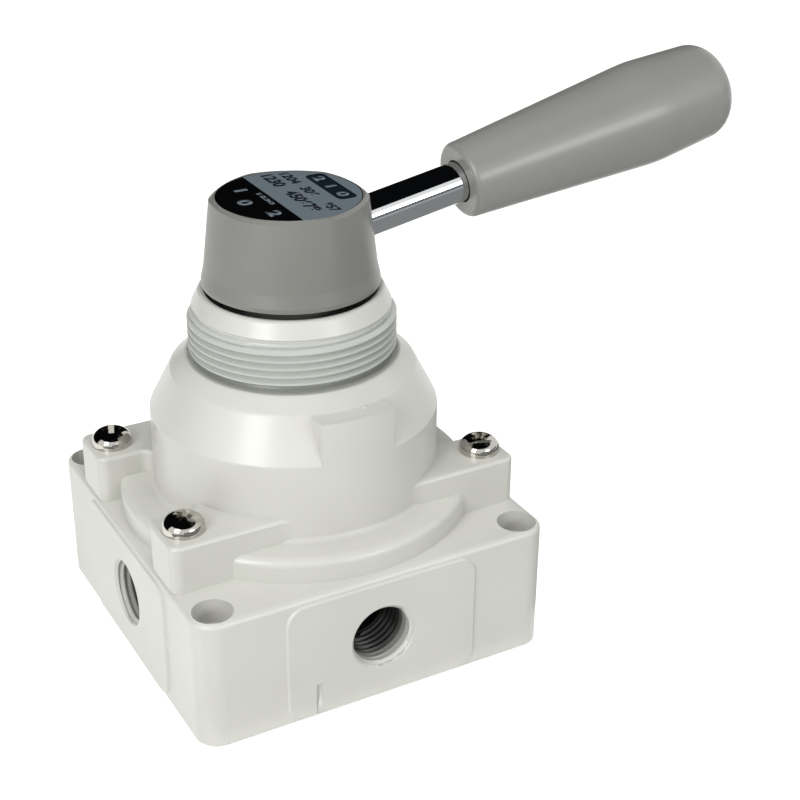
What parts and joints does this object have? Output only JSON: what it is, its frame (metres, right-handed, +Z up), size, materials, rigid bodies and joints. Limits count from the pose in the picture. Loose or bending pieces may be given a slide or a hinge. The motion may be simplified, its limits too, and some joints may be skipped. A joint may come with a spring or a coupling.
{
  "type": "hand lever air valve",
  "caption": "Hand lever rotary air valve with a square ported base, screwed bonnet with a threaded neck, faceted hub and a lever with a tapered grip.",
  "frame": {"origin": "centre of the base's flat mounting face, on the spindle's axis", "axes": "+Z up along the spindle's axis; +X towards the lever in its middle position; +Y to the rear, away from the side whose shoulder carries the pad"},
  "size_m": [0.1355, 0.074, 0.1056],
  "materials": {
    "cast_coat": "light warm grey paint on die-cast aluminium, satin to gloss",
    "hub_paint": "mid grey satin paint",
    "grip_plastic": "mid grey moulded plastic, satin",
    "label_black": "black film plate, glossy",
    "rod_chrome": "polished chrome plate",
    "bright_screw": "nickel-plated steel",
    "plain_steel": "turned or ground steel",
    "insert_brass": "turned brass",
    "lapped_plate": "hard anodised and lapped aluminium",
    "bush_polymer": "white acetal, machined",
    "seal_rubber": "black nitrile rubber"
  },
  "bodies": {
    "housing": {"valve_base": "cast_coat", "bonnet": "cast_coat", "cover_screws": "bright_screw", "body_seal": "seal_rubber", "port_seals": "seal_rubber", "seat_plate": "lapped_plate", "seat_pins": "plain_steel", "spindle_bush": "bush_polymer", "thrust_washer": "plain_steel", "detent_plate": "plain_steel"},
    "lever": {"spindle": "plain_steel", "spindle_seals": "seal_rubber", "circlip": "plain_steel", "rotor_disc": "bush_polymer", "drive_pins": "plain_steel", "pressure_spring": "plain_steel", "detent_spring_front": "plain_steel", "detent_spring_rear": "plain_steel", "hub": "hub_paint", "hub_washer": "plain_steel", "hub_screw": "bright_screw", "label_disc": "label_black", "lever_rod": "rod_chrome", "grip_insert": "insert_brass", "grip": "grip_plastic"},
    "front_ball": {"detent_ball_front": "plain_steel"},
    "rear_ball": {"detent_ball_rear": "plain_steel"}
  },
  "joints": [
    {"name": "lever_turn", "type": "hinge", "parent": "housing", "child": "lever", "pos_m": [0, 0, 0.0791], "axis": [0, 0, 1], "range_deg": [-45, 45]},
    {"name": "front_ball_rise", "type": "slide", "parent": "lever", "child": "front_ball", "axis": [0, 0, 1], "range_m": [0, 0.0008], "stiffness_N_per_m": 200, "springref_m": 0.0016},
    {"name": "rear_ball_rise", "type": "slide", "parent": "lever", "child": "rear_ball", "axis": [0, 0, 1], "range_m": [0, 0.0008], "stiffness_N_per_m": 200, "springref_m": 0.0016}
  ]
}
